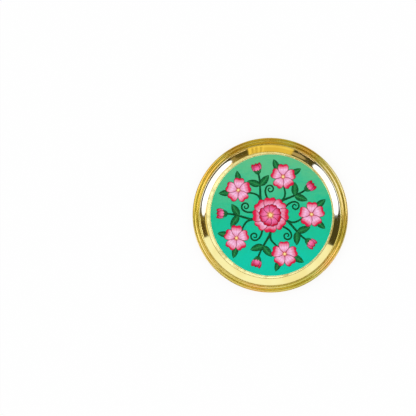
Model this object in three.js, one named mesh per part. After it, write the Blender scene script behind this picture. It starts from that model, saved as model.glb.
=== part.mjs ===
// A round brass plate, spun from one sheet, with a printed picture disc bonded to its flat floor
// and sealed under a clear coat. Millimetres, +Z up. The plate lies flat: the origin is on the
// table, under the middle of the plate.

import * as THREE from 'three';

// Overall size of the plate, and the sheet that it is spun from
const plateRadius = 101.6; // to the outside of the rolled edge: an 8 inch plate
const sheetThickness = 1;

// The bends of the sheet, from the floor outwards. A radius is that of the sheet's middle line,
// and a slope is the angle above level that the sheet has reached at the end of the bend.
const creaseRadius = 1.8; // where the wall leaves the flat floor
const wallLowSlope = 27;
const wallRadius = 28; // the broad polished hollow
const wallHighSlope = 46;
const lipRadius = 0.9; // the inner lip, where the hollow turns over into the rim
const lipSlope = -5;
const innerGrooveRadius = 5.6; // the shallow groove between the lip and the crown
const innerGrooveSlope = 27;
const crownRadius = 1.9; // the low crowned ring
const crownSlope = -18;
const outerGrooveRadius = 3.9; // the shallow groove between the crown and the rolled edge
const outerGrooveSlope = 28;
const rollRadius = 0.6; // the rolled edge
const rollSlope = -215;

// The picture disc and the clear coat that seals it
const pictureThickness = 0.25;
const pictureOffset = 2.05; // the disc is laid by hand, a little to +X of the centre
const coatThickness = 0.5; // over the picture
const sealWidth = 0.9; // of the coat's edge, which grips the brass
const sealGap = 0.3; // between the picture's edge and the coat's
const coatEdgeRound = 0.35;
const coatClearance = 0.25; // bare floor between the coat and the crease, where they come nearest

// Fineness of the faceted surfaces
const facetsAround = 72;
const degreesPerStep = 30;
const leastStepsPerBend = 2;
const smallestBend = 0.1; // how much a bend's inner face keeps, however thick the sheet is

const brass = new THREE.MeshStandardMaterial({ color: 0xd9b04a, roughness: 0.12, metalness: 1 });
const picturePrint = new THREE.MeshStandardMaterial({ color: 0x35c49a, roughness: 0.45, metalness: 0 });
const clearResin = new THREE.MeshStandardMaterial({ color: 0xf4fbf6, roughness: 0.08, metalness: 0 });

const radians = THREE.MathUtils.degToRad;

// A bend can't be tighter than half the sheet's thickness, or its inner face would fold over.
function bendable(radius) {
  return Math.max(radius, sheetThickness / 2 + smallestBend);
}

// Each bend turns the sheet from the slope that it has to the slope that is given. The rolled
// edge is three arcs of one round, which meet at its top and at its outermost line, so that the
// facets reach the plate's full height and width.
const bends = [
  { radius: creaseRadius, slope: wallLowSlope },
  { radius: wallRadius, slope: wallHighSlope },
  { radius: lipRadius, slope: lipSlope },
  { radius: innerGrooveRadius, slope: innerGrooveSlope },
  { radius: crownRadius, slope: crownSlope },
  { radius: outerGrooveRadius, slope: outerGrooveSlope },
  { radius: rollRadius, slope: 0 },
  { radius: rollRadius, slope: -90 },
  { radius: rollRadius, slope: rollSlope },
];

// The sheet's middle line from the end of the floor, as points with the slope at each of them.
function middleLine() {
  const line = [{ reach: 0, height: 0, slope: 0 }];
  for (const bend of bends) {
    const start = line.at(-1);
    const turn = bend.slope - start.slope;
    const radius = bendable(bend.radius) * Math.sign(turn);
    const steps = Math.max(leastStepsPerBend, Math.ceil(Math.abs(turn) / degreesPerStep));
    for (let step = 1; step <= steps; step += 1) {
      const slope = start.slope + (turn * step) / steps;
      line.push({
        reach: start.reach + radius * (Math.sin(radians(slope)) - Math.sin(radians(start.slope))),
        height: start.height + radius * (Math.cos(radians(start.slope)) - Math.cos(radians(slope))),
        slope,
      });
    }
  }
  return line;
}

// One face of the sheet: the middle line moved half a thickness to the side given by 1 or -1.
function sheetFace(line, floorRadius, side) {
  return line.map(({ reach, height, slope }) => new THREE.Vector2(
    floorRadius + reach - (side * sheetThickness * Math.sin(radians(slope))) / 2,
    sheetThickness / 2 + height + (side * sheetThickness * Math.cos(radians(slope))) / 2,
  ));
}

// A solid turned about Z from a profile of (radius, height) points.
function turned(name, profile, material) {
  const geometry = new THREE.LatheGeometry(profile, facetsAround);
  geometry.rotateX(Math.PI / 2);
  const mesh = new THREE.Mesh(geometry, material);
  mesh.name = name;
  return mesh;
}

// The rolled edge reaches furthest out, so the flat floor takes what the bends leave.
const sheetLine = middleLine();
const sheetEnd = sheetLine.at(-1);
const rollCentre = sheetEnd.reach + bendable(rollRadius) * Math.sin(radians(sheetEnd.slope));
const floorRadius = plateRadius - (rollCentre + bendable(rollRadius) + sheetThickness / 2);

// The coat stays on the flat floor, also on the side that the disc is laid towards, and the
// picture takes what the coat's edge leaves.
const coatRadius = floorRadius - coatClearance - Math.abs(pictureOffset);
const sealInnerRadius = coatRadius - sealWidth;
const pictureRadius = sealInnerRadius - sealGap;

function brassDish() {
  const upper = sheetFace(sheetLine, floorRadius, 1);
  const lower = sheetFace(sheetLine, floorRadius, -1);
  const profile = [
    new THREE.Vector2(0, 0),
    ...lower,
    ...upper.reverse(),
    new THREE.Vector2(0, sheetThickness),
  ];
  return turned('brass_dish', profile, brass);
}

function pictureDisc() {
  const profile = [
    new THREE.Vector2(0, sheetThickness),
    new THREE.Vector2(pictureRadius, sheetThickness),
    new THREE.Vector2(pictureRadius, sheetThickness + pictureThickness),
    new THREE.Vector2(0, sheetThickness + pictureThickness),
  ];
  return turned('picture_disc', profile, picturePrint);
}

// The coat is a shallow cap: its roof lies on the picture and its edge stands on the brass.
function clearCoat() {
  const roof = sheetThickness + pictureThickness;
  const top = roof + coatThickness;
  const round = Math.min(coatEdgeRound, sealWidth, coatThickness);
  const profile = [
    new THREE.Vector2(0, roof),
    new THREE.Vector2(sealInnerRadius, roof),
    new THREE.Vector2(sealInnerRadius, sheetThickness),
    new THREE.Vector2(coatRadius, sheetThickness),
  ];
  for (let step = 0; step <= leastStepsPerBend; step += 1) {
    const angle = radians((90 * step) / leastStepsPerBend);
    profile.push(new THREE.Vector2(
      coatRadius - round + round * Math.cos(angle),
      top - round + round * Math.sin(angle),
    ));
  }
  profile.push(new THREE.Vector2(0, top));
  return turned('clear_coat', profile, clearResin);
}

const picture = new THREE.Group();
picture.add(pictureDisc(), clearCoat());
picture.position.x = pictureOffset;

const plate = new THREE.Group();
plate.add(brassDish(), picture);

export default plate;
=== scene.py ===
"""A polished brass plate with a flower picture sealed on its floor, lying on a pale table.

Lengths are in millimetres until a mesh is made, and +Z is up out of the plate.
"""
import math

import bpy
from mathutils import Matrix, Vector


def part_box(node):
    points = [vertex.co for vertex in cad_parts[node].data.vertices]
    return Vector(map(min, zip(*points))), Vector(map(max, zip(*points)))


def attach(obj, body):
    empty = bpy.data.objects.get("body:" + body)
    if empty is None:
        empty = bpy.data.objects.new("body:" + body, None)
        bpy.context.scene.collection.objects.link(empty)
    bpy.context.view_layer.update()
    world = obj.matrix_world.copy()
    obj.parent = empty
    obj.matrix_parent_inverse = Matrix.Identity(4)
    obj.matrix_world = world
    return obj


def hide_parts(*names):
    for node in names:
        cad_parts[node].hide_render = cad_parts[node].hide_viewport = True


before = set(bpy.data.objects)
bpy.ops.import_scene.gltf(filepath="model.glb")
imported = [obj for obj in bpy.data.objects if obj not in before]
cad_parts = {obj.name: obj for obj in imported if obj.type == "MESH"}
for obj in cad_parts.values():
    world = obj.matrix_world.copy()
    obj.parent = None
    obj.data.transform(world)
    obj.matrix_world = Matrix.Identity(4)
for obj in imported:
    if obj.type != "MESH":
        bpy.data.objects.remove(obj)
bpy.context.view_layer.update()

MM = 0.001
TURN = 2 * math.pi

# The plate's own sizes, as the frame has them
PRINT_LOW, PRINT_HIGH = (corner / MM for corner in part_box("picture_disc"))
COAT_LOW, COAT_HIGH = (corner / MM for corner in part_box("clear_coat"))
PLATE_RADIUS = (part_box("brass_dish")[1] / MM).x
SHEET = PRINT_LOW.z
PICTURE_CENTRE = (PRINT_LOW.x + PRINT_HIGH.x) / 2
PICTURE_RADIUS = (PRINT_HIGH.x - PRINT_LOW.x) / 2
COAT_RADIUS = (COAT_HIGH.x - COAT_LOW.x) / 2

# The bends of the sheet, from the floor outwards: the radius of its middle line, the slope in
# degrees that it has at the end, and the tarnish that a polishing cloth leaves there.
BENDS = (
    (1.8, 27, 0.1),  # the crease round the floor
    (28, 46, 0.0),  # the broad polished hollow
    (0.9, -5, 0.15),  # the inner lip
    (5.6, 27, 0.35),  # the inner groove
    (1.9, -18, 0.35),  # the crown
    (3.9, 28, 0.1),  # the outer groove
    (0.6, -90, 0.7),  # the rolled edge, to its outermost line
    (0.6, -215, 0.5),  # the rest of it, turned in underneath
)
DEGREES_A_STEP = 4
LONGEST_STEP = 0.8
STEPS_AROUND = 288
SPIN_RADIUS = 50  # of the circle that carries a profile round, anywhere inside the plate

# The photograph's frame, in pixels, and where the middle of the plate's floor shows in it
IMAGE_SIDE = 416
FLOOR_PIXEL = (268.9, 215.1)
LENS = 50
SENSOR = 36
PIXELS_A_SLOPE = LENS / SENSOR * IMAGE_SIDE  # that a slope of 1 to the view's axis covers
CAMERA_PLACE = Vector((40.4, 0, 768.8))  # nearly straight above the plate


def build_camera():
    """Turned a little away from the plate, so that the plate shows right of the middle."""
    right = (FLOOR_PIXEL[0] - IMAGE_SIDE / 2) / PIXELS_A_SLOPE
    down = (FLOOR_PIXEL[1] - IMAGE_SIDE / 2) / PIXELS_A_SLOPE
    to_plate = -CAMERA_PLACE.normalized()
    level = to_plate.cross(Vector((0, 1, 0))).normalized()
    view = (to_plate - right * level + down * level.cross(to_plate)).normalized()
    across = view.cross(Vector((0, 1, 0))).normalized()
    above = across.cross(view)
    data = bpy.data.cameras.new("camera")
    data.lens = LENS
    data.sensor_width = SENSOR
    data.clip_start = 0.01
    camera = bpy.data.objects.new("camera", data)
    turned = Matrix((across, above, -view)).transposed().to_4x4()
    camera.matrix_world = Matrix.Translation(CAMERA_PLACE * MM) @ turned
    bpy.context.scene.collection.objects.link(camera)
    bpy.context.scene.camera = camera


# Node trees


def plug(tree, socket, value):
    """Feeds a socket from an output, or sets it. A colour is written as red, green and blue."""
    if isinstance(value, bpy.types.NodeSocket):
        tree.links.new(value, socket)
    elif isinstance(value, tuple) and len(value) < len(socket.default_value):
        socket.default_value = (*value, 1)
    else:
        socket.default_value = value


def add_node(tree, kind, inputs=None, **settings):
    """A node with its settings. An input is a value, or the output that feeds it."""
    node = tree.nodes.new(kind)
    for name, value in settings.items():
        setattr(node, name, value)
    for key, value in (inputs or {}).items():
        plug(tree, node.inputs[key], value)
    return node


def maths(tree, operation, *terms):
    """The result of one sum on numbers or outputs."""
    return add_node(tree, "ShaderNodeMath", dict(enumerate(terms)), operation=operation).outputs[0]


def plus(tree, first, second):
    return maths(tree, "ADD", first, second)


def minus(tree, first, second):
    return maths(tree, "SUBTRACT", first, second)


def times(tree, first, second):
    return maths(tree, "MULTIPLY", first, second)


def scaled(tree, value, start, end, low=0.0, high=1.0, **settings):
    """Goes straight from low to high as the value goes from start to end."""
    inputs = {"Value": value, "From Min": start, "From Max": end, "To Min": low, "To Max": high}
    return add_node(tree, "ShaderNodeMapRange", inputs, **settings).outputs["Result"]


def eased(tree, value, start, end, low=0.0, high=1.0):
    """Goes smoothly from low to high as the value goes from start to end."""
    return scaled(tree, value, start, end, low, high, interpolation_type="SMOOTHSTEP")


def blended(tree, factor, first, second, mode="MIX"):
    """Two colours mixed."""
    return add_node(tree, "ShaderNodeMix", {0: factor, 6: first, 7: second},
                    data_type="RGBA", blend_type=mode).outputs[2]


def colour_band(tree, value, stops, interpolation="LINEAR"):
    """A colour ramp with stops of place and colour."""
    node = add_node(tree, "ShaderNodeValToRGB", {"Fac": value})
    ramp = node.color_ramp
    ramp.interpolation = interpolation
    while len(ramp.elements) < len(stops):
        ramp.elements.new(1)
    for element, (place, colour) in zip(ramp.elements, stops):
        element.position = place
        element.color = (*colour, 1)
    return node.outputs["Color"]


def noise(tree, place, scale, detail=2.0, roughness=0.5, distortion=0.0):
    """Cloudy noise between 0 and 1."""
    return add_node(tree, "ShaderNodeTexNoise", {
        "Vector": place, "Scale": scale, "Detail": detail, "Roughness": roughness,
        "Distortion": distortion,
    }).outputs["Fac"]


def stretched(tree, place, factors):
    """A place multiplied along each axis."""
    return add_node(tree, "ShaderNodeVectorMath", {0: place, 1: factors},
                    operation="MULTIPLY").outputs[0]


def axes(tree, place):
    """A place's three numbers, as outputs named X, Y and Z."""
    return add_node(tree, "ShaderNodeSeparateXYZ", {0: place}).outputs


def xyz(tree, x, y, z):
    return add_node(tree, "ShaderNodeCombineXYZ", {"X": x, "Y": y, "Z": z}).outputs[0]


def turns_round(tree, split):
    """The bearing from +X, in turns from -0.5 to 0.5."""
    return maths(tree, "DIVIDE", maths(tree, "ARCTAN2", split["Y"], split["X"]), TURN)


def from_whole(tree, value):
    """How far a value is from the nearest whole number."""
    return maths(tree, "ABSOLUTE", minus(tree, value, maths(tree, "ROUND", value)))


def bumped(tree, height):
    """The surface's normal with a height in millimetres on it."""
    return add_node(tree, "ShaderNodeBump", {"Distance": MM, "Height": height}).outputs["Normal"]


def painted(red, green, blue):
    """A colour given as 0 to 255, as linear light."""
    return tuple(
        (c / 255 / 12.92) if c <= 10.3 else ((c / 255 + 0.055) / 1.055) ** 2.4
        for c in (red, green, blue)
    )


def blend_of(first, second, share):
    return tuple(a + (b - a) * share for a, b in zip(first, second))


def attribute(tree, name):
    return add_node(tree, "ShaderNodeAttribute", attribute_name=name).outputs["Fac"]


def place_in_mm(tree):
    """Where a point of the piece lies, in millimetres from the plate's middle."""
    coordinates = tree.nodes.new("ShaderNodeTexCoord").outputs["Object"]
    return stretched(tree, coordinates, (1 / MM, 1 / MM, 1 / MM))


INPUT_KINDS = {int: "Int", float: "Float", tuple: "Vector"}
ORIGIN = (0.0, 0.0, 0.0)


def new_tree(name, tree_kind, inputs, outputs):
    """An empty node group, with its source and its target nodes. An input is given as its
    value or its kind, and an output as its kind."""
    tree = bpy.data.node_groups.new(name, tree_kind)
    for label, value in inputs.items():
        named = isinstance(value, str)
        kind = "NodeSocket" + (value if named else INPUT_KINDS[type(value)])
        socket = tree.interface.new_socket(label, in_out="INPUT", socket_type=kind)
        if not named:
            socket.default_value = value
    for label, kind in outputs.items():
        tree.interface.new_socket(label, in_out="OUTPUT", socket_type="NodeSocket" + kind)
    return tree, tree.nodes.new("NodeGroupInput"), tree.nodes.new("NodeGroupOutput")


def use_group(tree, group, inputs):
    return add_node(tree, "ShaderNodeGroup", inputs, node_tree=group).outputs


def brushwork_group():
    """Soft patches and finer streaks, as a loaded brush leaves them, around 0."""
    group, source, target = new_tree(
        "brushwork", "ShaderNodeTree",
        {"Place": ORIGIN, "Patch size": 20.0, "Streak size": 2.0, "Streaks": 0.3},
        {"Shade": "Float"},
    )
    given = source.outputs
    per_patch = maths(group, "DIVIDE", 1, given["Patch size"])
    patches = noise(group, given["Place"], per_patch, 3.0, 0.55, 0.4)
    per_streak = maths(group, "DIVIDE", 1, given["Streak size"])
    along_x = stretched(group, given["Place"], (0.35, 1.0, 1.0))
    streaks = noise(group, along_x, per_streak, 2.0, 0.6, 0.8)
    fine = times(group, minus(group, streaks, 0.5), given["Streaks"])
    plug(group, target.inputs["Shade"], plus(group, minus(group, patches, 0.5), fine))
    return group


HAIRLINE_TURNS = (0.5, 1.7, 2.6)  # the ways that hairlines run, in radians
HAIRLINE_STRETCH = (0.03, 1.6, 1.6)


def handling_group():
    """Wipe marks and hairlines on a polished surface: roughness to add, and a height."""
    group, source, target = new_tree(
        "handling", "ShaderNodeTree", {"Place": ORIGIN, "Smears": 0.05, "Hairlines": 0.3},
        {"Roughness": "Float", "Height": "Float"},
    )
    given = source.outputs
    smears = noise(group, given["Place"], 0.045, 4.0, 0.6, 1.2)
    smeared = times(group, eased(group, smears, 0.42, 0.72), given["Smears"])
    crossed = 0.0
    for turn in HAIRLINE_TURNS:
        turned = add_node(group, "ShaderNodeVectorRotate",
                          {"Vector": given["Place"], "Angle": turn}, rotation_type="Z_AXIS")
        thin = stretched(group, turned.outputs[0], HAIRLINE_STRETCH)
        line = eased(group, noise(group, thin, 1.0, 1.0, distortion=0.1), 0.66, 0.74)
        crossed = maths(group, "MAXIMUM", crossed, line)
    scratched = times(group, crossed, given["Hairlines"])
    plug(group, target.inputs["Roughness"], plus(group, smeared, times(group, scratched, 0.1)))
    plug(group, target.inputs["Height"], times(group, scratched, -1))
    return group


# Finishes


def new_finish(name):
    """A material and its tree, which holds one surface shader."""
    finish = bpy.data.materials.new(name)
    finish.use_nodes = True
    return finish, finish.node_tree


def feed(tree, **sources):
    """Feeds the surface shader's sockets, named with _ for a space, and gives the shader."""
    shader = tree.nodes["Principled BSDF"]
    for name, value in sources.items():
        plug(tree, shader.inputs[name.replace("_", " ")], value)
    return shader


def mixed(tree, share, first, second):
    return add_node(tree, "ShaderNodeMixShader", {
        0: share, 1: first.outputs[0], 2: second.outputs[0],
    })


def clear_where(tree, share, surface):
    """Makes a shader the material's surface, and lets that share of the light through."""
    shown = mixed(tree, share, surface, tree.nodes.new("ShaderNodeBsdfTransparent"))
    plug(tree, tree.nodes["Material Output"].inputs["Surface"], shown.outputs[0])


RIM_STARTS = 92.8  # radius where the hollow has turned over into the rim
RIM_SOFTNESS = 0.8  # the painted reflections fade in over so much to both sides of it
RIM_REFLECTIONS = (  # bearings in degrees from +X, and the tint that multiplies the brass there, as painted reflection of the room
    (0, (0.98, 0.88, 0.60)), (20, (1.02, 1.02, 0.93)), (38, (0.92, 0.96, 0.86)),
    (47, (0.66, 0.74, 0.38)), (59, (0.93, 0.66, 0.30)), (74, (0.74, 0.84, 0.46)),
    (90, (0.90, 0.76, 0.38)), (105, (0.81, 0.84, 0.42)), (117, (0.86, 0.66, 0.34)),
    (127, (0.70, 0.76, 0.38)), (145, (1.07, 0.96, 0.46)), (165, (1.24, 1.14, 0.54)),
    (176, (1.20, 1.20, 0.60)), (186, (1.02, 1.0, 0.52)), (206, (1.36, 1.14, 0.84)),
    (226, (1.08, 1.08, 0.84)), (246, (1.04, 1.09, 0.74)), (260, (1.26, 0.99, 0.90)),
    (272, (1.16, 1.20, 1.04)), (290, (0.91, 1.04, 0.64)), (308, (0.86, 1.02, 0.74)),
    (321, (1.13, 0.88, 0.80)), (329, (1.22, 1.08, 0.80)), (336, (0.98, 0.98, 0.64)),
    (345, (0.73, 0.78, 0.42)), (360, (0.98, 0.88, 0.60)),
)


def rim_reflection_group():
    """Painted reflections around the rim: olive, orange and golden tints by bearing, some brighter
    than the brass, for what the rim mirrors of the room.
    """
    group, source, target = new_tree(
        "rim_reflections", "ShaderNodeTree", {"Place": ORIGIN}, {"Painted reflection": "Color"})
    place = source.outputs["Place"]
    flat = stretched(group, place, (1.0, 1.0, 0.0))
    radius = add_node(group, "ShaderNodeVectorMath", {0: flat}, operation="LENGTH").outputs["Value"]
    wander = minus(group, noise(group, place, 0.22, 3.0, 0.6), 0.5)
    turn = maths(group, "MULTIPLY_ADD", wander, 0.035, turns_round(group, axes(group, flat)))
    around = maths(group, "FRACT", plus(group, turn, 1.0))
    stain_and_sheen = colour_band(group, around, [(angle / 360, tint) for angle, tint in RIM_REFLECTIONS])
    on_rim = eased(group, radius, RIM_STARTS - RIM_SOFTNESS, RIM_STARTS + RIM_SOFTNESS)
    plug(group, target.inputs["Painted reflection"], blended(group, on_rim, (1.0, 1.0, 1.0), stain_and_sheen))
    return group


BRASS_PALE = (0.90, 0.70, 0.235)
BRASS_WARM = (0.86, 0.62, 0.175)
BRASS_TARNISH = (0.33, 0.17, 0.045)
ROUGH_POLISHED = 0.045
ROUGH_SATIN = (0.24, 0.40)
WAVE_DEPTH = 0.02  # of the polished face, in millimetres, as are the other depths
HAIRLINE_DEPTH = 0.0004
TURNING_DEPTH = (0.02, 0.0006)  # of the lathe's lines below and above


def polished_brass(handling, rim_reflection):
    """Mirror brass above and satin brass below, darker where the cloth doesn't reach."""
    finish, tree = new_finish("polished_brass")
    place = place_in_mm(tree)
    polish = attribute(tree, "polish")

    cloudy = eased(tree, noise(tree, place, 0.03, 3.0, 0.5), 0.35, 0.68)
    plain = blended(tree, cloudy, BRASS_PALE, BRASS_WARM)
    # The rim's tints by bearing are painted reflections of the room, not stains.
    stain_and_sheen = use_group(tree, rim_reflection, {"Place": place})["Painted reflection"]
    metal = blended(tree, 1.0, plain, stain_and_sheen, "MULTIPLY")
    spots = eased(tree, noise(tree, place, 0.9, 3.0, 0.7), 0.3, 0.7, 0.5, 1.0)
    worn = times(tree, attribute(tree, "tarnish"), spots)
    above = blended(tree, times(tree, worn, 0.6), metal, BRASS_TARNISH)
    below = blended(tree, 0.35, above, BRASS_TARNISH)

    marks = use_group(tree, handling, {"Place": place, "Smears": 0.06, "Hairlines": 0.25})
    turning = add_node(tree, "ShaderNodeTexNoise", {
        "W": attribute(tree, "along"), "Scale": 3.2, "Detail": 3.0, "Roughness": 0.75,
    }, noise_dimensions="1D").outputs["Fac"]
    above_rough = plus(tree, marks["Roughness"],
                       maths(tree, "MULTIPLY_ADD", worn, 0.3, ROUGH_POLISHED))
    below_rough = scaled(tree, turning, 0.3, 0.7, *ROUGH_SATIN)
    rough = add_node(tree, "ShaderNodeMix", {0: polish, 2: below_rough, 3: above_rough})

    lines = times(tree, turning, scaled(tree, polish, 0, 1, *TURNING_DEPTH))
    waves = times(tree, noise(tree, place, 0.05, 1.0, 0.4), WAVE_DEPTH)
    scratches = times(tree, marks["Height"], HAIRLINE_DEPTH)
    height = plus(tree, plus(tree, lines, waves), scratches)
    feed(tree, Base_Color=blended(tree, polish, below, above), Metallic=1.0,
         Roughness=rough.outputs[0], Normal=bumped(tree, height))
    return finish


def brushed(tree, brushwork, patch_size, streak_size, streaks):
    """The shade that the brush leaves on a painted piece, around 0."""
    return use_group(tree, brushwork, {
        "Place": place_in_mm(tree), "Patch size": patch_size, "Streak size": streak_size,
        "Streaks": streaks,
    })["Shade"]


def dried(finish, colour, roughness=0.5):
    """Ends a paint's material with its colour, dry and with little shine."""
    feed(finish.node_tree, Base_Color=colour, Roughness=roughness, Specular_IOR_Level=0.1)
    return finish


def painted_ground(brushwork):
    """Green teal at the top of the picture, and turquoise at its foot."""
    finish, tree = new_finish("painted_ground")
    shade = brushed(tree, brushwork, 34.0, 5.0, 0.35)
    up = axes(tree, place_in_mm(tree))["Y"]
    level = scaled(tree, up, -PICTURE_RADIUS, PICTURE_RADIUS)
    colour = colour_band(tree, maths(tree, "MULTIPLY_ADD", shade, 0.55, level), (
        (0.08, painted(0, 204, 172)), (0.5, painted(22, 195, 147)),
        (0.95, painted(97, 197, 140)),
    ))
    dark = eased(tree, shade, 0.0, -0.4, 0.0, 0.35)
    return dried(finish, blended(tree, dark, colour, painted(16, 176, 150)), 0.55)


OUTLINE_WIDTH = 0.45  # of the drawn edge of a petal
PETAL_OUTLINE = painted(98, 8, 44)


def painted_petals(name, brushwork, foot, middle, tip):
    """A petal's paint: a deep foot, a pale middle and a bright tip, with drawn veins."""
    finish, tree = new_finish(name)
    along = attribute(tree, "along")
    edge = attribute(tree, "edge")
    shade = brushed(tree, brushwork, 5.0, 0.8, 0.6)
    level = plus(tree, maths(tree, "MULTIPLY_ADD", shade, 0.25, along),
                 scaled(tree, attribute(tree, "tone"), 0, 1, -0.07, 0.07))
    colour = colour_band(tree, level, (
        (0.02, foot), (0.26, blend_of(foot, middle, 0.7)), (0.48, middle),
        (0.68, blend_of(middle, tip, 0.5)), (0.86, tip),
    ), "EASE")
    rimmed = blended(tree, eased(tree, edge, 2.2, 0.2, 0.0, 0.55), colour, tip)
    fan = times(tree, attribute(tree, "across"), 2.0)
    vein = eased(tree, from_whole(tree, fan), 0.11, 0.0)
    reach = times(tree, eased(tree, along, 0.12, 0.3), eased(tree, along, 0.86, 0.6))
    veined = blended(tree, times(tree, times(tree, vein, reach), 0.5), rimmed,
                     blend_of(tip, PETAL_OUTLINE, 0.35))
    line = eased(tree, edge, OUTLINE_WIDTH + 0.12, OUTLINE_WIDTH - 0.08)
    return dried(finish, blended(tree, line, veined, PETAL_OUTLINE))


def painted_leaves(brushwork):
    """Dark green with a pale midrib and side veins."""
    finish, tree = new_finish("painted_leaves")
    shade = brushed(tree, brushwork, 4.0, 0.7, 0.6)
    side = maths(tree, "ABSOLUTE", attribute(tree, "across"))
    level = maths(tree, "MULTIPLY_ADD", shade, 0.8, times(tree, side, 0.6))
    colour = colour_band(tree, level, (
        (0.0, painted(8, 122, 62)), (0.35, painted(0, 96, 44)), (0.8, painted(0, 72, 34)),
    ))
    combed = maths(tree, "MULTIPLY_ADD", attribute(tree, "along"), 5.0, times(tree, side, -1.1))
    vein = times(tree, eased(tree, from_whole(tree, combed), 0.13, 0.0),
                 eased(tree, side, 0.9, 0.5))
    midrib = eased(tree, side, 0.10, 0.02)
    lines = maths(tree, "MAXIMUM", times(tree, vein, 0.4), times(tree, midrib, 0.75))
    veined = blended(tree, lines, colour, painted(70, 165, 95))
    outline = eased(tree, attribute(tree, "edge"), 0.36, 0.18)
    return dried(finish, blended(tree, outline, veined, painted(0, 46, 24)))


def painted_stems(brushwork):
    """Dark green strokes, a little lighter where the brush ran dry."""
    finish, tree = new_finish("painted_stems")
    shade = brushed(tree, brushwork, 6.0, 1.0, 0.7)
    return dried(finish, colour_band(tree, plus(tree, shade, 0.5), (
        (0.3, painted(0, 66, 34)), (0.6, painted(0, 88, 44)), (0.85, painted(10, 116, 62)),
    )))


def painted_pollen(brushwork):
    """Warm cream yellow dots."""
    finish, tree = new_finish("painted_pollen")
    shade = brushed(tree, brushwork, 2.5, 0.6, 0.6)
    level = plus(tree, times(tree, attribute(tree, "edge"), 0.9), shade)
    return dried(finish, colour_band(tree, level, (
        (0.0, painted(214, 110, 40)), (0.35, painted(246, 180, 84)),
        (0.7, painted(255, 226, 150)),
    )))


def clear_resin(handling):
    """Clear gloss resin with faint waves and hairlines. Soft light and shadows pass through it."""
    finish, tree = new_finish("clear_resin")
    place = place_in_mm(tree)
    marks = use_group(tree, handling, {"Place": place, "Smears": 0.0, "Hairlines": 0.5})
    waves = noise(tree, place, 0.06, 1.0)
    height = maths(tree, "MULTIPLY_ADD", waves, WAVE_DEPTH,
                   times(tree, marks["Height"], HAIRLINE_DEPTH))
    gloss = feed(tree, Base_Color=(0.97, 1.0, 0.985), Roughness=0.0, IOR=1.46,
                 Transmission_Weight=1.0, Normal=bumped(tree, height))
    light = tree.nodes.new("ShaderNodeLightPath").outputs
    passes = maths(tree, "MAXIMUM", light["Is Shadow Ray"], light["Is Diffuse Ray"])
    clear_where(tree, passes, gloss)
    return finish


# Shapes


def shape_tree(name, inputs):
    """A geometry tree with named inputs. Gives the tree, its source and its target nodes."""
    shape = {"Geometry": "Geometry"}
    return new_tree(name, "GeometryNodeTree", {**shape, **inputs, "Finish": "Material"}, shape)


def made(tree, kind, inputs=None, **settings):
    """What one step of a shape's making gives."""
    return add_node(tree, "GeometryNode" + kind, inputs, **settings).outputs[0]


def end_tree(tree, shape, source, target):
    """Ends a geometry tree with plain, finished geometry."""
    finished = made(tree, "SetMaterial", {
        "Geometry": made(tree, "RealizeInstances", {"Geometry": shape}),
        "Material": source.outputs["Finish"],
    })
    plug(tree, target.inputs["Geometry"], finished)


def spin_tree():
    """Spins a line of edges into a closed turned shape. The line is drawn as radius and height,
    from the axis out along the top and back along the bottom, so that its faces point out."""
    tree, source, target = shape_tree("spin", {
        "Steps around": STEPS_AROUND, "Sharp above": math.radians(40),
    })
    given = source.outputs
    laid = made(tree, "Transform", {
        "Geometry": made(tree, "MeshToCurve", {"Mesh": given["Geometry"]}),
        "Translation": (-SPIN_RADIUS * MM, 0, 0), "Rotation": (math.pi, 0, 0),
    })
    circle = made(tree, "CurvePrimitiveCircle", {
        "Resolution": given["Steps around"], "Radius": SPIN_RADIUS * MM,
    })
    spun = made(tree, "CurveToMesh", {"Curve": circle, "Profile Curve": laid})
    closed = made(tree, "MergeByDistance", {"Geometry": spun, "Distance": 1e-6})
    smooth = made(tree, "SetShadeSmooth", {"Geometry": closed})
    sharp = maths(tree, "GREATER_THAN", made(tree, "InputMeshEdgeAngle"), given["Sharp above"])
    creased = made(tree, "SetShadeSmooth", {
        "Geometry": smooth, "Selection": sharp, "Shade Smooth": False,
    }, domain="EDGE")
    end_tree(tree, creased, source, target)
    return tree


def ring_tree():
    """Copies a shape around +Z. Each copy turns and grows by a chance of its own, and keeps a
    tone of its own. The whole ring is then turned and put in its place."""
    tree, source, target = shape_tree("ring", {
        "Copies": 5, "Turn by chance": 0.0, "Grow by chance": 0.0, "Seed": 1, "Turn": 0.0,
        "Place": ORIGIN,
    })
    given = source.outputs
    index = made(tree, "InputIndex")

    def chance(reach, offset):
        """A number of each copy's own, from -reach to reach."""
        seed = plus(tree, given["Seed"], offset)
        node = add_node(tree, "FunctionNodeRandomValue", {"ID": index, "Seed": seed, 2: -1.0})
        return times(tree, node.outputs[1], reach)

    def about_z(angle):
        turned = {0: xyz(tree, 0.0, 0.0, angle)}
        return add_node(tree, "FunctionNodeEulerToRotation", turned).outputs[0]

    share = maths(tree, "DIVIDE", index, given["Copies"])
    angle = plus(tree, times(tree, share, TURN), chance(given["Turn by chance"], 0))
    size = plus(tree, 1, chance(given["Grow by chance"], 11))
    copies = made(tree, "InstanceOnPoints", {
        "Points": made(tree, "Points", {"Count": given["Copies"]}),
        "Instance": given["Geometry"], "Rotation": about_z(angle),
        "Scale": xyz(tree, size, size, 1.0),
    })
    toned = made(tree, "StoreNamedAttribute", {
        "Geometry": copies, "Name": "tone",
        "Value": maths(tree, "MULTIPLY_ADD", chance(1.0, 23), 0.5, 0.5),
    }, domain="INSTANCE")
    placed = made(tree, "Transform", {
        "Geometry": made(tree, "RealizeInstances", {"Geometry": toned}),
        "Translation": given["Place"], "Rotation": about_z(given["Turn"]),
    })
    end_tree(tree, placed, source, target)
    return tree


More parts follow.
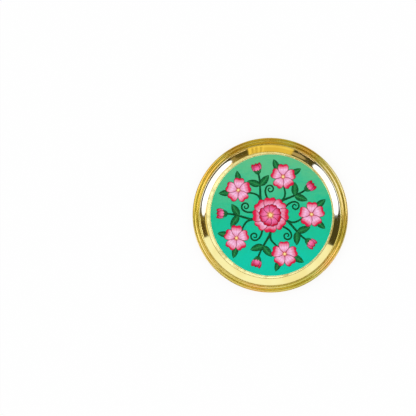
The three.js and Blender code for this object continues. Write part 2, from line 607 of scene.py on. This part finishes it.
def stroke_tree():
    """Lays a flat brush stroke along each line of edges, as wide as its points say. The
    thickness is that of a stroke 2 mm wide."""
    tree, source, target = shape_tree("stroke", {"Thickness": 0.05 * MM, "Sides": 10})
    given = source.outputs
    laid = made(tree, "CurveToMesh", {
        "Curve": made(tree, "MeshToCurve", {"Mesh": given["Geometry"]}),
        "Profile Curve": made(tree, "CurvePrimitiveCircle", {
            "Resolution": given["Sides"], "Radius": 0.5,
        }),
        "Scale": made(tree, "InputNamedAttribute", {"Name": "width"}), "Fill Caps": True,
    })
    low = maths(tree, "DIVIDE", given["Thickness"], 2.0 * MM)
    pressed = made(tree, "Transform", {"Geometry": laid, "Scale": xyz(tree, 1.0, 1.0, low)})
    end_tree(tree, made(tree, "SetShadeSmooth", {"Geometry": pressed}), source, target)
    return tree


def shape_with(piece, tree, settings):
    """Puts a geometry tree on the piece, with its inputs set by their names."""
    modifier = piece.modifiers.new(tree.name, "NODES")
    modifier.node_group = tree
    for socket in tree.interface.items_tree:
        if socket.item_type == "SOCKET" and socket.name in settings:
            modifier[socket.identifier] = settings[socket.name]


def new_piece(name, points, edges, faces, values):
    """A piece with a mesh given in millimetres, and named values at its points."""
    mesh = bpy.data.meshes.new(name)
    mesh.from_pydata([Vector(point) * MM for point in points], edges, faces)
    for label, numbers in values.items():
        mesh.attributes.new(label, "FLOAT", "POINT").data.foreach_set("value", numbers)
    piece = bpy.data.objects.new(name, mesh)
    bpy.context.scene.collection.objects.link(piece)
    return piece


def settle(piece, x, z=0):
    """Makes the piece's shape a plain mesh, moved along X and Z in millimetres."""
    depsgraph = bpy.context.evaluated_depsgraph_get()
    mesh = bpy.data.meshes.new_from_object(
        piece.evaluated_get(depsgraph), preserve_all_data_layers=True, depsgraph=depsgraph
    )
    piece.modifiers.clear()
    piece.data = mesh
    mesh.transform(Matrix.Translation(Vector((x, 0, z)) * MM))
    mesh.name = piece.name
    return piece


def spun_piece(name, tree, profile, finish, values=None, x=0):
    """A turned piece from its profile of radius and height."""
    points = [(radius, height, 0) for radius, height in profile]
    edges = [(i, i + 1) for i in range(len(points) - 1)]
    piece = new_piece(name, points, edges, [], values or {})
    shape_with(piece, tree, {"Finish": finish})
    return settle(piece, x)


# The dish


def sheet_line():
    """Points along the sheet's middle from the end of its floor: how far they reach, how high
    they are, the slope there, and the tarnish."""
    reach, height, slope = 0.0, 0.0, 0.0
    line = [(reach, height, slope, 0.0)]
    for bend_radius, end_slope, tarnish in BENDS:
        turn = end_slope - slope
        radius = math.copysign(bend_radius, turn)
        length = abs(math.radians(turn)) * bend_radius
        steps = max(math.ceil(abs(turn) / DEGREES_A_STEP), math.ceil(length / LONGEST_STEP))
        start = math.radians(slope)
        for step in range(1, steps + 1):
            here = math.radians(slope + turn * step / steps)
            line.append((
                reach + radius * (math.sin(here) - math.sin(start)),
                height + radius * (math.cos(start) - math.cos(here)),
                here,
                tarnish,
            ))
        reach, height = line[-1][:2]
        slope = end_slope
    return line


def sheet_face(line, floor_radius, side):
    """One face of the sheet: its middle line moved half the sheet's thickness to that side."""
    return [(
        floor_radius + reach - side * SHEET / 2 * math.sin(slope),
        SHEET / 2 + height + side * SHEET / 2 * math.cos(slope),
    ) for reach, height, slope, _ in line]


FLOOR_RINGS = (0, 0.25, 0.5, 0.75, 0.9, 0.97, 0.998)  # edges across the floor, as shares of it
TARNISH_BELOW = 0.25  # the least that the underside has


def build_dish(spin, finish):
    """The spun sheet, from the middle of its floor round the rolled edge to its underside."""
    line = sheet_line()
    widest = max(reach - SHEET / 2 * math.sin(slope) for reach, _, slope, _ in line)
    floor_radius = PLATE_RADIUS - widest
    floor = [floor_radius * share for share in FLOOR_RINGS]
    tarnish = [tarnish for *_, tarnish in line]
    near = [tarnish[max(0, i - 2):i + 3] for i in range(len(tarnish))]
    stains = [0.0] * len(floor) + [sum(few) / len(few) for few in near]
    under = [(radius, 0) for radius in floor] + sheet_face(line, floor_radius, -1)
    over = [(radius, SHEET) for radius in floor] + sheet_face(line, floor_radius, 1)
    along = [0.0]
    for (r0, z0), (r1, z1) in zip(over, over[1:]):
        along.append(along[-1] + math.hypot(r1 - r0, z1 - z0))
    values = {
        "polish": [1.0] * len(over) + [0.0] * len(under),
        "tarnish": stains + [max(stain_and_sheen, TARNISH_BELOW) for stain_and_sheen in stains[::-1]],
        "along": along + along[::-1],
    }
    return spun_piece("spun_dish", spin, over + under[::-1], finish, values)


# The picture

GROUND_TOP = PRINT_HIGH.z
STEM_LEVEL = GROUND_TOP + 0.01
LEAF_LEVEL = GROUND_TOP + 0.09
BUD_LEVEL = GROUND_TOP + 0.12
BLOSSOM_LEVEL = GROUND_TOP + 0.15
ROSETTE_LEVEL = GROUND_TOP + 0.19
POLLEN_LEVEL = GROUND_TOP + 0.34
PAINT = 0.03  # thickness of a painted shape
SECTOR_CHANCE = {"Copies": 5, "Turn by chance": math.radians(2.2), "Grow by chance": 0.022,
                 "Seed": 7}


def blade(length, width, narrow_foot, narrow_tip, notch=0.0, lean=0.0, rows=12, columns=8):
    """A petal's or leaf's flat outline along +X, as points in rows and columns. Its half width
    follows v ** narrow_foot * (1 - v) ** narrow_tip, and lean makes one side lie lower."""
    most = (narrow_foot / (narrow_foot + narrow_tip)) ** narrow_foot
    most *= (narrow_tip / (narrow_foot + narrow_tip)) ** narrow_tip

    def at(row, column):
        v = 0.5 - 0.5 * math.cos(math.pi * row / rows)
        u = math.sin(math.pi / 2 * (2 * column / columns - 1))
        half = width / 2 * v ** narrow_foot * (1 - v) ** narrow_tip / most
        side = u * half
        dent = notch * math.exp(-((side / (0.18 * width)) ** 2)) * max(0, (v - 0.6) / 0.4) ** 1.5
        return length * v - dent, side, lean * u, u, v

    grid = [[at(row, column) for column in range(columns + 1)] for row in range(1, rows)]
    foot, tip = at(0, columns // 2), at(rows, columns // 2)
    flat = [foot, *(point for row in grid for point in row), tip]
    rim = [foot, *(row[-1] for row in grid), tip, *(row[0] for row in reversed(grid))]
    faces = []
    wide = columns + 1
    for column in range(columns):
        faces.append((0, 1 + column, 2 + column))
        last = 1 + (len(grid) - 1) * wide + column
        faces.append((len(flat) - 1, last + 1, last))
        for row in range(len(grid) - 1):
            corner = 1 + row * wide + column
            faces.append((corner, corner + wide, corner + wide + 1, corner + 1))
    return {
        "points": [(x, y, z) for x, y, z, *_ in flat],
        "faces": faces,
        "across": [u for *_, u, _ in flat],
        "along": [v for *_, v in flat],
        "edge": [rim_distance(point, rim) for point in flat],
    }


def rim_distance(point, rim):
    """How far a point lies from the closed line through the rim's points."""
    place = Vector(point[:2])
    nearest = math.inf
    for first, second in zip(rim, rim[1:] + rim[:1]):
        start, side = Vector(first[:2]), Vector(second[:2]) - Vector(first[:2])
        share = (place - start).dot(side) / max(side.length_squared, 1e-12)
        nearest = min(nearest, (place - start - side * min(max(share, 0), 1)).length)
    return nearest


def moved(shape, x=0.0, y=0.0, turn=0.0, size=1.0, level=0.0):
    """A copy of a flat shape, turned in degrees, sized and put in its place."""
    c, s = math.cos(math.radians(turn)) * size, math.sin(math.radians(turn)) * size
    return {**shape, "points": [(x + c * px - s * py, y + s * px + c * py, level + pz)
                                for px, py, pz in shape["points"]]}


def painted_piece(name, shapes, finish, rings, ring):
    """Flat painted shapes in one piece, thickened, then repeated by each ring in turn."""
    points, faces = [], []
    values = {"across": [], "along": [], "edge": []}
    for shape in shapes:
        start = len(points)
        points += shape["points"]
        faces += [tuple(start + i for i in face) for face in shape["faces"]]
        for label, numbers in values.items():
            numbers += shape[label]
    piece = new_piece(name, points, [], faces, values)
    for settings in rings:
        shape_with(piece, ring, {"Finish": finish, **settings})
    solid = piece.modifiers.new("paint", "SOLIDIFY")
    solid.thickness = PAINT * MM
    solid.offset = -1
    return settle(piece, PICTURE_CENTRE)


def s_curve(start, first, second, end, width_start, width_end, steps=24):
    """Points and widths along one curve with two handles."""
    points, widths = [], []
    for step in range(steps + 1):
        t = step / steps
        weights = ((1 - t) ** 3, 3 * t * (1 - t) ** 2, 3 * t * t * (1 - t), t ** 3)
        corners = (start, first, second, end)
        points.append(tuple(sum(w * c[axis] for w, c in zip(weights, corners))
                            for axis in (0, 1)))
        widths.append(width_start + (width_end - width_start) * t)
    return points, widths


def tendril(centre, reach, turns, start_angle, width_start, width_end, steps=40):
    """Points and widths along a curl that winds in to its centre."""
    points, widths = [], []
    for step in range(steps + 1):
        t = step / steps
        radius = reach * (1 - t) ** 0.8 * 0.88 + reach * 0.12
        angle = math.radians(start_angle) + turns * TURN * t
        points.append((centre[0] + radius * math.cos(angle),
                       centre[1] + radius * math.sin(angle)))
        widths.append(width_start + (width_end - width_start) * t ** 1.5)
    return points, widths


def stroke_piece(name, lines, finish, stroke, ring):
    """Brush strokes along lines of points and widths, repeated in every sector."""
    points, edges, widths = [], [], []
    for line, line_widths in lines:
        start = len(points)
        points += [(x, y, 0) for x, y in line]
        edges += [(i, i + 1) for i in range(start, len(points) - 1)]
        widths += [width * MM for width in line_widths]
    piece = new_piece(name, points, edges, [], {"width": widths})
    shape_with(piece, stroke, {"Finish": finish})
    shape_with(piece, ring, {"Finish": finish, **SECTOR_CHANCE})
    return settle(piece, PICTURE_CENTRE, STEM_LEVEL)


def build_ground(spin, finish):
    profile = [(0, GROUND_TOP), (PICTURE_RADIUS, GROUND_TOP), (PICTURE_RADIUS, SHEET),
               (0, SHEET)]
    return spun_piece("picture_ground", spin, profile, finish, x=PICTURE_CENTRE)


COAT_ROUND = 0.35  # radius of the coat's round edge
COAT_STEPS = 6  # along that edge
COAT_RINGS = (3, 0.38)  # edges in the flat top, so far inside the rim
COAT_SUNK = 0.02  # how far its foot and its underside go into the sheet


def build_coat(spin, finish):
    """The clear cap. Its underside is hidden in the sheet, under the picture."""
    top = COAT_HIGH.z
    profile = [(0, top), *((COAT_RADIUS - inset, top) for inset in COAT_RINGS)]
    for step in range(COAT_STEPS + 1):
        angle = math.pi / 2 * step / COAT_STEPS
        profile.append((COAT_RADIUS - COAT_ROUND * (1 - math.sin(angle)),
                        top - COAT_ROUND * (1 - math.cos(angle))))
    profile += [(COAT_RADIUS, SHEET - COAT_SUNK), (0, SHEET - COAT_SUNK)]
    return spun_piece("resin_coat", spin, profile, finish, x=PICTURE_CENTRE)


def disc_shape(radius, sides):
    """A small round dot, with its distance from the rim at each point."""
    points = [(0, 0, 0)]
    points += [(radius * math.cos(TURN * i / sides), radius * math.sin(TURN * i / sides), 0)
               for i in range(sides)]
    faces = [(0, 1 + i, 1 + (i + 1) % sides) for i in range(sides)]
    return {"points": points, "faces": faces, "across": [0.0] * len(points),
            "along": [0.5] + [1.0] * sides, "edge": [radius] + [0.0] * sides}


def flower_eye(middle, dot, count, reach, level, x=0.0):
    """A round eye with a ring of dots. The eye and the dot are given as radius and sides."""
    turns = [TURN * i / count for i in range(count)]
    return [moved(disc_shape(*middle), x=x, level=level),
            *(moved(disc_shape(*dot), x=x + reach * math.cos(turn), y=reach * math.sin(turn),
                    level=level) for turn in turns)]


BLOSSOM_REACH = 54  # from the picture's middle to a blossom's
BUD_FOOT = (46.9, -34.1)
SEPAL_FOOT = (45.7, -33.2)


def build_picture(ring, stroke, finishes):
    """A round garden of rosettes, blossoms, buds, leaves and curling stems."""
    def paint(name, shapes, finish, *rings):
        return painted_piece(name, shapes, finishes[finish], rings, ring)

    outer = blade(23, 17, 0.85, 0.42, notch=2.4, lean=0.035, rows=14, columns=10)
    inner = blade(14.5, 11, 0.85, 0.45, notch=1.2, lean=0.03)
    petal = blade(17, 14.5, 0.8, 0.42, notch=2.1, lean=0.03)
    pieces = [
        paint("rosette_outer_petals", [moved(outer, x=1.5, level=ROSETTE_LEVEL)], "pink",
              {"Copies": 8, "Turn by chance": 0.05, "Grow by chance": 0.05, "Seed": 3}),
        paint("rosette_inner_petals", [moved(inner, x=1.0, level=ROSETTE_LEVEL + 0.08)], "rose",
              {"Copies": 8, "Turn by chance": 0.05, "Grow by chance": 0.06, "Seed": 5,
               "Turn": TURN / 16}),
        paint("rosette_eye", flower_eye((2.8, 24), (0.6, 10), 14, 3.9, POLLEN_LEVEL), "pollen",
              {"Copies": 1}),
        paint("blossom_petals", [moved(petal, x=0.6, level=BLOSSOM_LEVEL)], "pink",
              {"Copies": 5, "Turn by chance": 0.06, "Grow by chance": 0.05, "Seed": 9,
               "Turn": 0.3, "Place": (BLOSSOM_REACH * MM, 0, 0)}, SECTOR_CHANCE),
        paint("blossom_eyes",
              flower_eye((2.1, 16), (0.5, 8), 9, 3.1, POLLEN_LEVEL - 0.04, BLOSSOM_REACH),
              "pollen", SECTOR_CHANCE),
    ]

    side_petal = blade(14.5, 7.5, 0.7, 0.7)
    front_petal = blade(13.5, 8.5, 0.6, 0.7)
    pieces.append(paint("bud_petals", [
        moved(side_petal, *BUD_FOOT, turn=-58, level=BUD_LEVEL),
        moved(side_petal, *BUD_FOOT, turn=-14, level=BUD_LEVEL + 0.005),
        moved(front_petal, *BUD_FOOT, turn=-36, level=BUD_LEVEL + 0.05),
    ], "rose", SECTOR_CHANCE))
    sepal = blade(7.6, 3.6, 0.6, 0.9, rows=8, columns=4)
    leaf = blade(18, 9.4, 0.6, 0.85)
    pieces.append(paint("leaves", [
        moved(sepal, *SEPAL_FOOT, turn=-74, level=LEAF_LEVEL + 0.1),
        moved(sepal, *SEPAL_FOOT, turn=2, level=LEAF_LEVEL + 0.1),
        moved(sepal, *SEPAL_FOOT, turn=-36, size=0.8, level=LEAF_LEVEL + 0.13),
        moved(leaf, 35.0, -23.0, turn=20, level=LEAF_LEVEL),
        moved(leaf, 34.6, -22.6, turn=-92, level=LEAF_LEVEL),
        moved(leaf, 60.0, 9.0, turn=40, size=0.9, level=LEAF_LEVEL),
        moved(leaf, 60.0, -9.0, turn=-42, size=0.85, level=LEAF_LEVEL),
    ], "leaf", SECTOR_CHANCE))

    stems = [s_curve((17, -5), (27, -9), (33, -24), BUD_FOOT, 3.3, 2.5),
             s_curve((23, -8), (30, -13), (36, -9), (45, -3), 2.9, 2.2),
             s_curve((17, 7.5), (22, 12.5), (26, 17), (31.6, 17.0), 2.7, 2.4),
             tendril((32.8, 11.2), 5.9, -1.3, 102, 2.4, 1.5)]
    return [*pieces, stroke_piece("stems", stems, finishes["stem"], stroke, ring)]


# The table and the light


TABLE_HALF = 3000
TABLE_LEVEL = -0.1
TABLE_GLOW = 0.85  # share of plain white in what the camera and the metal see of the table


def build_table():
    """A wide white table. It shows white to the camera, and keeps the plate's soft shadow. It is
    clear from below, so that the plate's underside can be looked at."""
    corners = [(x * TABLE_HALF, y * TABLE_HALF, TABLE_LEVEL)
               for x, y in ((-1, -1), (1, -1), (1, 1), (-1, 1))]
    table = new_piece("table", corners, [], [(0, 1, 2, 3)], {})
    finish, tree = new_finish("white_table")
    grain = noise(tree, place_in_mm(tree), 0.02)
    colour = blended(tree, grain, (0.955, 0.955, 0.955), (0.975, 0.975, 0.975))
    chalky = feed(tree, Base_Color=colour, Roughness=0.8, Specular_IOR_Level=0.0)
    light = tree.nodes.new("ShaderNodeLightPath").outputs
    seen = maths(tree, "MAXIMUM", light["Is Camera Ray"],
                 maths(tree, "MAXIMUM", light["Is Glossy Ray"], light["Is Transmission Ray"]))
    glow = add_node(tree, "ShaderNodeEmission", {"Color": (1, 1, 1)})
    lit = mixed(tree, times(tree, seen, TABLE_GLOW), chalky, glow)
    clear_where(tree, tree.nodes.new("ShaderNodeNewGeometry").outputs["Backfacing"], lit)
    table.data.materials.append(finish)


# What polished metal mirrors: a warm ceiling with a dark opening for the camera, and cards that
# stand around the table in front of a dark wall. Bearings are in degrees from +X, and heights in
# degrees down from straight above. A card is given as its left and right bearing, its top and
# its foot, the radius of its corners, and its colour. A later card hides an earlier one.
DARK_WALL = (0.074, 0.076, 0.048)
SOFTBOX = (1.4, 1.85, 5.4)
RIGHT_STRIP = (1.35, 1.45, 2.15)
LEFT_STRIP = (1.95, 1.68, 2.4)
CARDS = (
    (-2, 20.5, 44, 92, 2, (0.20, 0.19, 0.10)),
    (5.5, 26, 56, 98, 5, (0.11, 0.085, 0.03)),
    (286, 301, 44, 92, 2, (0.18, 0.155, 0.085)),
    (295, 303, 44, 72, 4, (0.33, 0.31, 0.21)),
    (282, 297, 57, 98, 5, (0.11, 0.105, 0.05)),
    (2, 20.5, 79.5, 92, 1, (3.7, 4.1, 4.2)),
    (227.5, 246, 84.6, 92, 1, (4.2, 3.6, 4.8)),
    (286, 301, 81, 92, 1, (2.0, 1.9, 2.4)),
    (0, 20, 38, 49, 1, (1.25, 1.25, 1.0)),
    (155, 179, 46, 51.5, 1, (1.02, 1.08, 1.0)),
    (20.5, 155.5, 28, 92, 4, (1.07, 1.27, 1.8)),
    (180, 224, 31, 51, 3, RIGHT_STRIP),
    (180, 225.8, 45, 83, 13, SOFTBOX),
    (234, 247, 52, 74, 9, (0.47, 0.44, 0.46)),
    (246, 284.5, 28, 90, 3, (0.84, 0.70, 0.22)),
    (246, 284.5, 73, 90, 5, (0.95, 0.86, 0.36)),
    (271, 284.5, 28, 90, 3, (1.06, 0.93, 0.35)),
    (272.4, 274.2, 46, 80, 0.9, (0.62, 0.5, 0.14)),
    (276.4, 278.2, 46, 80, 0.9, (0.56, 0.44, 0.11)),
    (280, 281.6, 46, 80, 0.8, (0.58, 0.47, 0.12)),
    (301.5, 358, 31, 51, 3, LEFT_STRIP),
    (301.5, 360.4, 45, 74.5, 12, SOFTBOX),
)
CEILING_CARDS = (
    (180, 198, 10.8, 20, 2, (1.9, 2.3, 2.8)),
    (322, 359, 5, 14, 2, (1.5, 1.8, 2.0)),
    (52, 92, 7.4, 17, 2, (1.3, 1.3, 1.9)),
    (113, 140, 9.6, 19, 2, (1.0, 1.0, 1.3)),
    (1, 20, 9, 33, 3, (0.13, 0.12, 0.03)),
    (180, 218, 31, 45, 3, RIGHT_STRIP),
    (301.5, 338, 31, 45, 3, LEFT_STRIP),
)
CARD_SOFTNESS = 0.8  # a card's edge fades over so many degrees to both sides
CEILING = (  # degrees from the lens, and the colour there
    (6.02, (1.33, 1.72, 2.85)), (6.14, (1.33, 1.53, 2.3)), (6.5, (1.22, 1.36, 1.9)),
    (7.4, (0.62, 0.62, 0.30)), (15, (0.56, 0.51, 0.13)), (36, (0.54, 0.46, 0.09)),
)
CEILING_EDGE = 37
CEILING_PATCH = (0.46, 0.42, 0.08)
BEAM = (0.68, 0.60, 0.22)  # of the ceiling, beside the lens, towards +Y
BEAM_STARTS = (6.08, 6.16)  # degrees from the lens
BEAM_ENDS = (6.7, 6.5)
BEAM_SIDE = (0.072, 0.088)  # how far its directions point to +Y
OPENING = 5.6  # half width of the opening for the camera
COAT_OPENING = 6.1  # the same in the clear coat, to keep the picture's edge crisp
OPENING_COLOUR = (0.05, 0.05, 0.05)
COAT_SHARE = 0.65  # of a card's light that shows in the clear coat, as plain grey
COAT_GREY_STARTS = (20, 30)  # height from which the coat mirrors the room as grey


def card_group():
    """How far a direction lies inside a card with round corners, from 0 to 1."""
    group, source, target = new_tree(
        "card", "ShaderNodeTree",
        {"Bearing": 0.0, "Height": 0.0, "Middle bearing": 0.0, "Middle height": 0.0,
         "Half width": 10.0, "Half height": 10.0, "Corner": 5.0},
        {"Inside": "Float"},
    )
    given = source.outputs
    past = []
    for place, middle, half in (("Bearing", "Middle bearing", "Half width"),
                                ("Height", "Middle height", "Half height")):
        off = maths(group, "ABSOLUTE", minus(group, given[place], given[middle]))
        off = maths(group, "MINIMUM", off, minus(group, 360, off))
        straight = minus(group, given[half], given["Corner"])
        past.append(maths(group, "MAXIMUM", minus(group, off, straight), 0))
    reach = maths(group, "SQRT", plus(group, *(maths(group, "POWER", side, 2) for side in past)))
    inside = eased(group, minus(group, reach, given["Corner"]), CARD_SOFTNESS, -CARD_SOFTNESS)
    plug(group, target.inputs["Inside"], inside)
    return group


def hung(tree, card, bearing, down, cards, behind):
    """The colour of what is behind, with the cards hung in front of it."""
    for left, right, top, foot, corner, colour in cards:
        inside = use_group(tree, card, {
            "Bearing": bearing, "Height": down, "Corner": corner,
            "Middle bearing": (left + right) / 2, "Middle height": (top + foot) / 2,
            "Half width": (right - left) / 2, "Half height": (foot - top) / 2,
        })["Inside"]
        behind = blended(tree, inside, behind, colour)
    return behind


def angle_from(tree, way, spot):
    """Degrees between a direction and the mirrored line of sight at a spot on the X axis."""
    aim = Vector((spot - CAMERA_PLACE.x, 0, CAMERA_PLACE.z)).normalized()
    beside = add_node(tree, "ShaderNodeVectorMath", {0: way, 1: aim}, operation="DOT_PRODUCT")
    return maths(tree, "DEGREES", maths(tree, "ARCCOSINE", beside.outputs["Value"]))


def plain_ceiling(tree, way):
    """The ceiling without its cards: brightest beside the lens, with soft patches and a beam."""
    off_lens = angle_from(tree, way, 0)
    colour = colour_band(tree, maths(tree, "DIVIDE", off_lens, 90),
                         [(angle / 90, colour) for angle, colour in CEILING])
    drift = eased(tree, noise(tree, way, 1.6, 1.0, 0.4), 0.40, 0.62)
    patch = times(tree, drift, eased(tree, off_lens, 12, 24))
    colour = blended(tree, patch, colour, CEILING_PATCH)
    beam = times(tree, eased(tree, off_lens, *BEAM_STARTS), eased(tree, off_lens, *BEAM_ENDS))
    beam = times(tree, beam, eased(tree, axes(tree, way)["Y"], *BEAM_SIDE))
    return blended(tree, beam, colour, BEAM)


def build_world(card):
    """Even white light on everything, and the studio's cards in what metal mirrors."""
    world = bpy.data.worlds.new("studio")
    bpy.context.scene.world = world
    world.use_nodes = True
    world.cycles.sampling_method = "NONE"
    tree = world.node_tree
    tree.nodes.clear()
    way = tree.nodes.new("ShaderNodeTexCoord").outputs["Generated"]
    split = axes(tree, way)
    down = maths(tree, "DEGREES", maths(tree, "ARCCOSINE", split["Z"]))
    turn = turns_round(tree, split)
    bearing = times(tree, maths(tree, "FRACT", plus(tree, turn, 1.0)), 360)
    light = tree.nodes.new("ShaderNodeLightPath").outputs
    in_coat = times(tree, light["Is Singular Ray"], light["Is Reflection Ray"])

    wall = hung(tree, card, bearing, down, CARDS, DARK_WALL)
    ceiling = hung(tree, card, bearing, down, CEILING_CARDS, plain_ceiling(tree, way))
    off_picture = maths(tree, "MULTIPLY_ADD", in_coat, OPENING - COAT_OPENING,
                        angle_from(tree, way, PICTURE_CENTRE))
    ceiling = blended(tree, eased(tree, off_picture, OPENING - 0.1, OPENING + 0.1),
                      OPENING_COLOUR, ceiling)
    room = blended(tree, eased(tree, down, CEILING_EDGE - 1, CEILING_EDGE + 1), ceiling, wall)

    green = add_node(tree, "ShaderNodeSeparateColor", {0: room}).outputs["Green"]
    greyed = times(tree, in_coat, eased(tree, down, *COAT_GREY_STARTS))
    room = blended(tree, greyed, room, times(tree, green, COAT_SHARE))
    mirrored = maths(tree, "MAXIMUM", light["Is Glossy Ray"], light["Is Transmission Ray"])
    colour = blended(tree, mirrored, (1.0, 1.0, 1.0), room)
    background = add_node(tree, "ShaderNodeBackground", {"Color": colour})
    add_node(tree, "ShaderNodeOutputWorld", {"Surface": background.outputs[0]})


def main():
    bpy.context.scene.view_settings.view_transform = "Standard"
    build_camera()
    build_world(card_group())
    build_table()
    brushwork, handling = brushwork_group(), handling_group()
    spin, ring, stroke = spin_tree(), ring_tree(), stroke_tree()
    finishes = {
        "pink": painted_petals("painted_pink", brushwork, painted(214, 60, 130),
                               painted(255, 196, 232), painted(226, 20, 70)),
        "rose": painted_petals("painted_rose", brushwork, painted(250, 170, 140),
                               painted(250, 120, 180), painted(200, 4, 48)),
        "leaf": painted_leaves(brushwork),
        "stem": painted_stems(brushwork),
        "pollen": painted_pollen(brushwork),
    }
    dish = build_dish(spin, polished_brass(handling, rim_reflection_group()))
    ground = build_ground(spin, painted_ground(brushwork))
    coat = build_coat(spin, clear_resin(handling))
    picture = build_picture(ring, stroke, finishes)

    for piece, node, slot in ((dish, "brass_dish", "brass"),
                              (ground, "picture_disc", "picture_print"),
                              (coat, "clear_coat", "clear_resin")):
        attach(piece, "root")
        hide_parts(node)
    for piece in picture:
        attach(piece, "root")


main()
